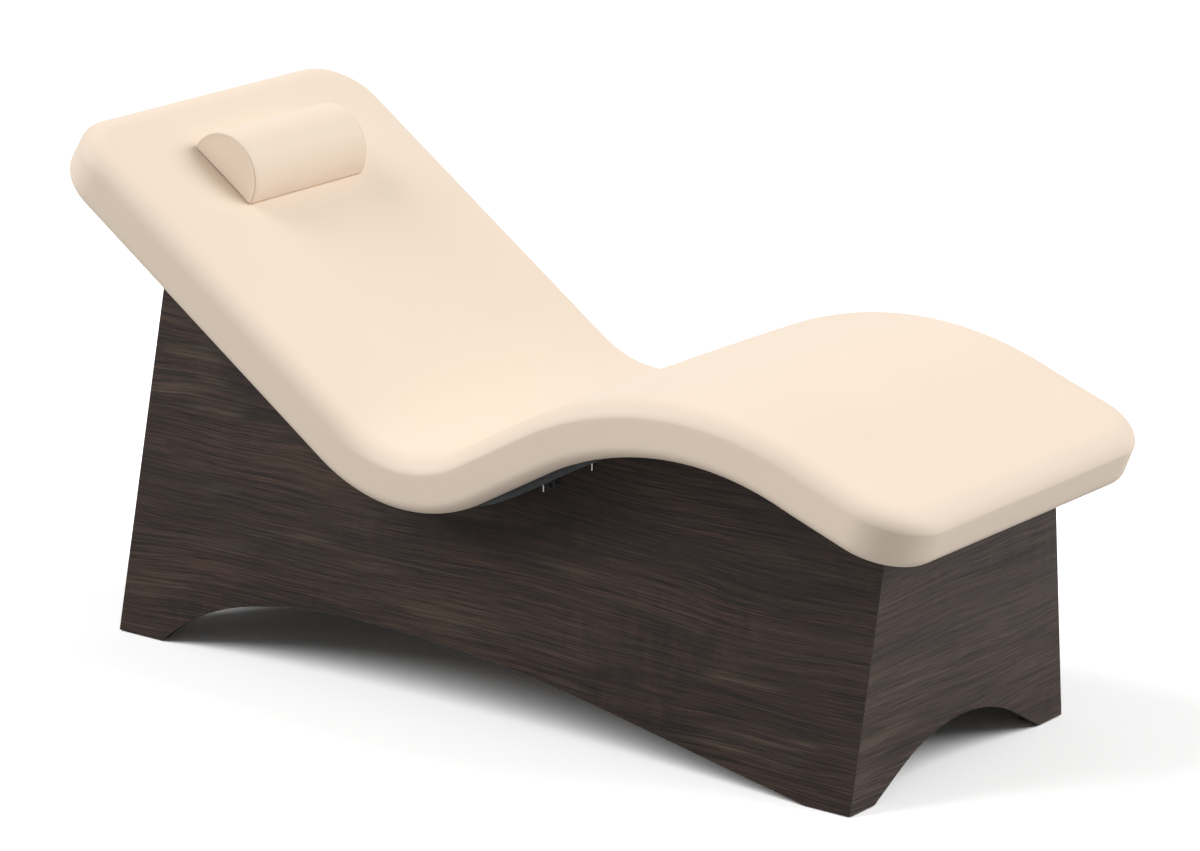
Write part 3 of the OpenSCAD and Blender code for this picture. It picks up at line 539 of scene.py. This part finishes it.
def makeCushion():
    c = cushionFacts
    levels = cushionLevels()
    points, faces = [], []
    for inset, high, share in levels:
        points += [wave.put(s, y, high) for s, y in wholeRim(inset, share)]
    ring = len(points) // len(levels)
    for k in range(len(levels) - 1):
        a, b = k * ring, (k + 1) * ring
        faces += [(a + i, a + (i + 1) % ring, b + (i + 1) % ring, b + i) for i in range(ring)]
    topInset, topHigh, _ = levels[-1]
    half = halfRim(topInset, 1)
    rows, columns = len(half), c["columns"]

    # Index of a grid point on a level's rim, or inside the grid that starts at a given point
    def spot(row, column, rim, inner):
        if column == 0:
            return rim + row
        if row == rows - 1:
            return rim + rows - 1 + column
        if column == columns:
            return rim + rows + columns - 2 + (rows - row)
        if row == 0:
            return rim + (ring - column)
        return inner + (row - 1) * (columns - 1) + column - 1

    def grid(rim, inner, flip):
        for row in range(rows - 1):
            for column in range(columns):
                corners = [(row, column), (row + 1, column), (row + 1, column + 1), (row, column + 1)]
                face = [spot(*corner, rim, inner) for corner in corners]
                faces.append(face[::-1] if flip else face)
    inner = len(points)
    for row in range(1, rows - 1):
        s, wide = half[row]
        near = min(s, wave.length - s) - topInset
        fade = 1 - (1 - min(1, near / waveFacts["headCorner"])) ** 2
        for column in range(1, columns):
            share = 2 * column / columns - 1
            points.append(wave.put(s, wide * share, topHigh + c["crown"] * (1 - share ** 2) * fade))
    grid((len(levels) - 1) * ring, inner, False)
    under = halfRim(levels[0][0], 0)
    inner = len(points)
    for row in range(1, rows - 1):
        s, wide = under[row]
        for column in range(1, columns):
            points.append(wave.put(s, wide * (2 * column / columns - 1), levels[0][1]))
    grid(0, inner, True)
    stands = ["cushion_cover", "cushion_foam"]
    piece = makePiece("cushion", points, faces, "vinyl", "plinth_and_cushion", stands)


makeCushion()
print("stage: cushion made")


# Lets a closed padded piece swell under a little pressure, with its seams and resting side held, and keeps the shape
def swell(piece, held, facts):
    group = piece.vertex_groups.new(name="held")
    group.add(held, 1.0, "REPLACE")
    start = [v.co.copy() for v in piece.data.vertices]
    cloth = piece.modifiers.new("swell", "CLOTH")
    cloth.settings.quality = facts["quality"]
    cloth.settings.mass = facts["mass"]
    cloth.settings.vertex_group_mass = "held"
    cloth.settings.tension_stiffness = facts["stretch"]
    cloth.settings.compression_stiffness = facts["stretch"]
    cloth.settings.bending_stiffness = facts["bend"]
    cloth.settings.use_pressure = True
    cloth.settings.uniform_pressure_force = facts["pressure"]
    cloth.settings.effector_weights.gravity = 0.0
    cloth.point_cache.frame_start = 1
    cloth.point_cache.frame_end = facts["frames"]
    scene = bpy.context.scene
    for number in range(1, facts["frames"] + 1):
        scene.frame_set(number)
    seen = piece.evaluated_get(bpy.context.evaluated_depsgraph_get())
    found = [v.co.copy() for v in seen.data.vertices]
    piece.modifiers.remove(cloth)
    scene.frame_set(1)
    moves = [last - first for first, last in zip(start, found)]
    moves = [m.normalized() * min(m.length, facts["cap"]) for m in moves]
    near = [[] for _ in moves]
    for edge in piece.data.edges:
        a, b = edge.vertices
        near[a].append(b)
        near[b].append(a)
    still = set(held)

    def eased(i):
        return (moves[i] + sum((moves[j] for j in near[i]), Vector())) / (1 + len(near[i]))
    # A tight cover has no folds, so each move is eased towards those around it
    for _ in range(facts["ease"]):
        moves = [moves[i] if i in still else eased(i) for i in range(len(moves))]
    for vertex, first, move in zip(piece.data.vertices, start, moves):
        vertex.co = first + move
    most = max(m.length for m in moves)
    piece.vertex_groups.remove(group)
    print("swelled", piece.name, "by at most", round(most * 1000, 2), "mm")


# One level of subdivision, applied
def refine(piece):
    piece.modifiers.new("refine", "SUBSURF").levels = 1
    piece.modifiers["refine"].render_levels = 1
    seen = piece.evaluated_get(bpy.context.evaluated_depsgraph_get())
    mesh = bpy.data.meshes.new_from_object(seen)
    piece.modifiers.clear()
    old = piece.data
    piece.data = mesh
    bpy.data.meshes.remove(old)


# Head pillow, in millimetres: a half-round bolster with seamed ends, lying across the back rest
pillowFacts = {
    "radius": 77.5, "at": 202.5, "base": 102.4, "ends": (-154.5, 151.5), "arcSteps": 44, "rows": 52, "baseSteps": 22,
    "bulge": 3.5, "lift": 1.6, "rimRound": 3.0, "seamDeep": 0.9, "seamIn": 5.0, "seamHalf": 1.1, "full": 0.2,
    "heart": 0.42, "endRings": (0.97, 0.9, 0.78, 0.64, 0.5, 0.36, 0.22, 0.1), "restsBelow": 4.0,
    "swell": {
        "pressure": 4.0, "stretch": 30.0, "bend": 4.0, "quality": 5, "mass": 0.4,
        "frames": 20, "cap": 0.004, "ease": 30,
    },
}


def makePillow():
    p = pillowFacts
    r, low, high = p["radius"], p["ends"][0], p["ends"][1]
    turns = [math.pi * i / p["arcSteps"] for i in range(p["arcSteps"] + 1)]
    outline = [(r * math.cos(turn), r * math.sin(turn)) for turn in turns]
    outline += [(-r + 2 * r * i / p["baseSteps"], 0.0) for i in range(1, p["baseSteps"])]
    count = len(outline)
    # Distance from the end and change of radius: rounded rim, seam groove, then the long body
    seam, beside, full = p["seamIn"], p["seamHalf"], p["full"]
    rim = [
        (0.0, -p["rimRound"]), (0.35, -1.7), (1.2, -0.6), (seam * 0.6, -0.1),
        (seam - beside, 0.0), (seam, -p["seamDeep"]), (seam + beside, 0.0), (seam + 4, full),
    ]
    places = [(low + d, c) for d, c in rim]
    start, end = places[-1][0], high - rim[-1][0]
    places += [(start + (end - start) * j / p["rows"], full) for j in range(1, p["rows"])]
    places += [(high - d, c) for d, c in reversed(rim)]
    heart = p["heart"] * r

    def spot(u, v, y, change, share=1.0, out=0.0):
        k = (r + change) / r
        # The base rises a little in the middle, so that the pillow rests on its outer edges
        under = p["lift"] * (1 - (u / r) ** 2) if v == 0.0 else 0.0
        tall = heart + (v * k - heart) * share if v > 0 else heart + (under - change * 0.3 - heart) * share
        return wave.put(p["at"] + u * k * share, y + out, p["base"] + tall)
    points = [spot(u, v, y, change) for y, change in places for u, v in outline]
    rings = len(places)

    def band(first, second):
        steps = [(i, (i + 1) % count) for i in range(count)]
        return [(first + i, first + after, second + after, second + i) for i, after in steps]
    faces = []
    for a in range(rings - 1):
        faces += band(a * count, (a + 1) * count)
    for side, first in ((-1, 0), (1, (rings - 1) * count)):
        ringAt, endAt = first, places[0 if side < 0 else -1][0]
        for share in p["endRings"]:
            start = len(points)
            out = side * p["bulge"] * (1 - share ** 2)
            points += [spot(u, v, endAt, -p["rimRound"], share, out) for u, v in outline]
            faces += [quad if side == 1 else quad[::-1] for quad in band(ringAt, start)]
            ringAt = start
        hub = len(points)
        points.append(spot(0, 0.001, endAt, 0, 0.0, side * p["bulge"]))
        for i in range(count):
            tri = (ringAt + i, ringAt + (i + 1) % count, hub)
            faces.append(tri if side == 1 else tri[::-1])
    piece = makePiece("headPillow", points, faces, "vinyl", "head_pillow", ["pillow_cover", "pillow_foam"])
    held = []
    for a in range(rings):
        edge = a < len(rim) or a >= rings - len(rim)
        held += [a * count + i for i in range(count) if edge or outline[i][1] < p["restsBelow"]]
    swell(piece, held, p["swell"])
    refine(piece)


makePillow()
print("stage: pillow made")


# Panels of the plinth, in metres and degrees: sharp edges longer than shortest are eased
panelFacts = {
    "flatAngle": 0.4, "sharpAngle": 40, "shortest": 0.004,
    "ease": 0.0009, "easeSteps": 2, "easeProfile": 0.6, "facing": 0.9,
}


# A panel is the CAD panel with eased edges, laminate outside and bands on its edges; the eased edges get a paler
# colour that is a painted highlight
def makePanel(node, out, face):
    p = panelFacts
    bm = bmesh.new()
    bm.from_mesh(nodes[node].data)
    bmesh.ops.remove_doubles(bm, verts=bm.verts, dist=mergeWithin)
    bmesh.ops.dissolve_limit(bm, angle_limit=math.radians(p["flatAngle"]), verts=bm.verts, edges=bm.edges)
    closed = [e for e in bm.edges if len(e.link_faces) == 2]
    folded = [e for e in closed if e.calc_face_angle(0) > math.radians(p["sharpAngle"])]
    sharp = [e for e in folded if e.calc_length() > p["shortest"]]
    finishes = [face, "edgeBand", "innerFace", "paintedEdgeHighlight"]
    outside, band, inside, corner = range(len(finishes))
    bmesh.ops.bevel(
        bm, geom=sharp, offset=p["ease"], segments=p["easeSteps"], profile=p["easeProfile"], affect="EDGES",
        material=corner, clamp_overlap=True,
    )
    bmesh.ops.recalc_face_normals(bm, faces=bm.faces)
    outward = Vector(out)
    for f in bm.faces:
        if f.material_index == corner:
            continue
        along = f.normal.dot(outward)
        f.material_index = outside if along > p["facing"] else inside if along < -p["facing"] else band
    mesh = bpy.data.meshes.new(node + "Panel")
    bm.to_mesh(mesh)
    bm.free()
    for look in finishes:
        mesh.materials.append(looks[look])
    piece = bpy.data.objects.new(node + "Panel", mesh)
    bpy.context.scene.collection.objects.link(piece)
    settle(piece, "plinth_and_cushion", [node])


makePanel("side_panel_left", (0, -1, 0), "sideLaminate")
makePanel("side_panel_right", (0, 1, 0), "sideLaminate")
# The end panels take the paler laminate copy, whose extra lightness is painted reflection
makePanel("head_panel", (-1, 0, 0), "endLaminatePaintedSheen")
makePanel("foot_panel", (1, 0, 0), "endLaminatePaintedSheen")
print("stage: panels made")

# Screws, in metres: a pan head with a cross recess and a shank on every place where the CAD has one
screwFacts = {
    "Head Width": 0.008, "Head Height": 0.003, "Shank Width": 0.004,
    "Slot Length": 0.0044, "Slot Width": 0.001, "Slot Depth": 0.0018,
}
screwSides = {"head": 24, "shank": 12}
screwSets = {
    "clip_screws": ("black", "black_steel"), "angle_screws": ("zinc", "zinc_steel"),
    "cleat_screws": ("zinc", "zinc_steel"), "block_screws": ("zinc", "zinc_steel"),
    "deck_screws": ("zinc", "zinc_steel"),
}


# Top of the head, direction out of the head and whole length of each screw of a CAD node
def findScrews(node):
    bm = bmesh.new()
    bm.from_mesh(nodes[node].data)
    bmesh.ops.remove_doubles(bm, verts=bm.verts, dist=mergeWithin)
    found, seen = [], set()
    for first in bm.verts:
        if first in seen:
            continue
        island, queue = [], [first]
        seen.add(first)
        while queue:
            vertex = queue.pop()
            island.append(list(vertex.co))
            for other in (edge.other_vert(vertex) for edge in vertex.link_edges):
                if other not in seen:
                    seen.add(other)
                    queue.append(other)
        points = numpy.array(island)
        middle = points.mean(axis=0)
        line = numpy.linalg.eigh(numpy.cov((points - middle).T))[1][:, 2]
        along = (points - middle) @ line
        beside = numpy.linalg.norm(points - middle - numpy.outer(along, line), axis=1)
        # The head is the wide end, and its rim lies well outside the shank
        wide = beside > 0.4 * screwFacts["Head Width"]
        if along[wide].mean() < (along.min() + along.max()) / 2:
            line, along = -line, -along
        found.append((tuple(middle + line * along.max()), tuple(line), float(along.max() - along.min())))
    bm.free()
    return found


# Geometry Nodes tree that puts a screw on each point, along the point's own direction
def makeScrewTree():
    tree = bpy.data.node_groups.new("screwRow", "GeometryNodeTree")
    face = tree.interface
    face.new_socket("Points", in_out="INPUT", socket_type="NodeSocketGeometry")
    for label in screwFacts:
        face.new_socket(label, in_out="INPUT", socket_type="NodeSocketFloat")
    face.new_socket("Finish", in_out="INPUT", socket_type="NodeSocketMaterial")
    face.new_socket("Screws", in_out="OUTPUT", socket_type="NodeSocketGeometry")

    def node(kind, setup={}, feeds={}):
        made = tree.nodes.new(kind)
        for key, value in setup.items():
            setattr(made, key, value)
        for key, value in feeds.items():
            if isinstance(value, bpy.types.NodeSocket):
                tree.links.new(value, made.inputs[key])
            else:
                made.inputs[key].default_value = value
        return made
    given = node("NodeGroupInput").outputs

    def sums(kind, a, b):
        return node("ShaderNodeMath", {"operation": kind}, {0: a, 1: b}).outputs[0]

    def vector(x, y, z):
        return node("ShaderNodeCombineXYZ", {}, {0: x, 1: y, 2: z}).outputs[0]

    def rod(width, depth, sides, middle):
        feeds = {"Vertices": sides, "Radius": sums("MULTIPLY", width, 0.5), "Depth": depth}
        made = node("GeometryNodeMeshCylinder", {}, feeds).outputs["Mesh"]
        return node("GeometryNodeTransform", {}, {"Geometry": made, "Translation": middle}).outputs[0]

    def bar(long, wide):
        deep = sums("MULTIPLY", given["Slot Depth"], 2.0)
        return node("GeometryNodeMeshCube", {}, {"Size": vector(long, wide, deep)}).outputs["Mesh"]

    def named(label, kind):
        return node("GeometryNodeInputNamedAttribute", {"data_type": kind}, {"Name": label}).outputs[0]

    def onPoints(shape, more):
        feeds = {"Points": given["Points"], "Instance": shape, "Rotation": turn, **more}
        return node("GeometryNodeInstanceOnPoints", {}, feeds).outputs[0]
    half = sums("MULTIPLY", given["Head Height"], -0.5)
    head = rod(given["Head Width"], given["Head Height"], screwSides["head"], vector(0.0, 0.0, half))
    cut = node("GeometryNodeMeshBoolean", {"operation": "DIFFERENCE"}, {"Mesh 1": head})
    tree.links.new(bar(given["Slot Length"], given["Slot Width"]), cut.inputs["Mesh 2"])
    tree.links.new(bar(given["Slot Width"], given["Slot Length"]), cut.inputs["Mesh 2"])
    # The shank is one metre long, so that its scale is the screw's whole length
    shank = rod(given["Shank Width"], 1.0, screwSides["shank"], (0.0, 0.0, -0.5))
    along = named("line", "FLOAT_VECTOR")
    turn = node("FunctionNodeAlignRotationToVector", {"axis": "Z"}, {"Vector": along}).outputs[0]
    heads = onPoints(cut.outputs["Mesh"], {})
    shanks = onPoints(shank, {"Scale": vector(1.0, 1.0, named("long", "FLOAT"))})
    both = node("GeometryNodeJoinGeometry")
    tree.links.new(heads, both.inputs[0])
    tree.links.new(shanks, both.inputs[0])
    real = node("GeometryNodeRealizeInstances", {}, {"Geometry": both.outputs[0]})
    finish = node("GeometryNodeSetMaterial", {}, {"Geometry": real.outputs[0], "Material": given["Finish"]})
    end = node("NodeGroupOutput")
    tree.links.new(finish.outputs[0], end.inputs[0])
    return tree


def makeScrews():
    tree = makeScrewTree()
    sockets = {item.name: item.identifier for item in tree.interface.items_tree if item.in_out == "INPUT"}
    for node, (look, slot) in screwSets.items():
        tops, lines, longs = zip(*findScrews(node))
        mesh = bpy.data.meshes.new(node + "Row")
        mesh.from_pydata(tops, [], [])
        lineData = mesh.attributes.new("line", "FLOAT_VECTOR", "POINT").data
        lineData.foreach_set("vector", [part for line in lines for part in line])
        mesh.attributes.new("long", "FLOAT", "POINT").data.foreach_set("value", longs)
        row = bpy.data.objects.new(node + "Row", mesh)
        bpy.context.scene.collection.objects.link(row)
        modifier = row.modifiers.new("screwRow", "NODES")
        modifier.node_group = tree
        for label, value in screwFacts.items():
            modifier[sockets[label]] = value
        modifier[sockets["Finish"]] = looks[look]
        made = bpy.data.meshes.new_from_object(row.evaluated_get(bpy.context.evaluated_depsgraph_get()))
        row.modifiers.clear()
        made.materials.clear()
        made.materials.append(looks[look])
        made.polygons.foreach_set("material_index", [0] * len(made.polygons))
        row.data = made
        bpy.data.meshes.remove(mesh)
        settle(row, "plinth_and_cushion", [node])
        print("screws", node, len(tops), "faces", len(made.polygons), "longest", round(max(longs) * 1000, 1), "mm")


makeScrews()
print("stage: screws made")
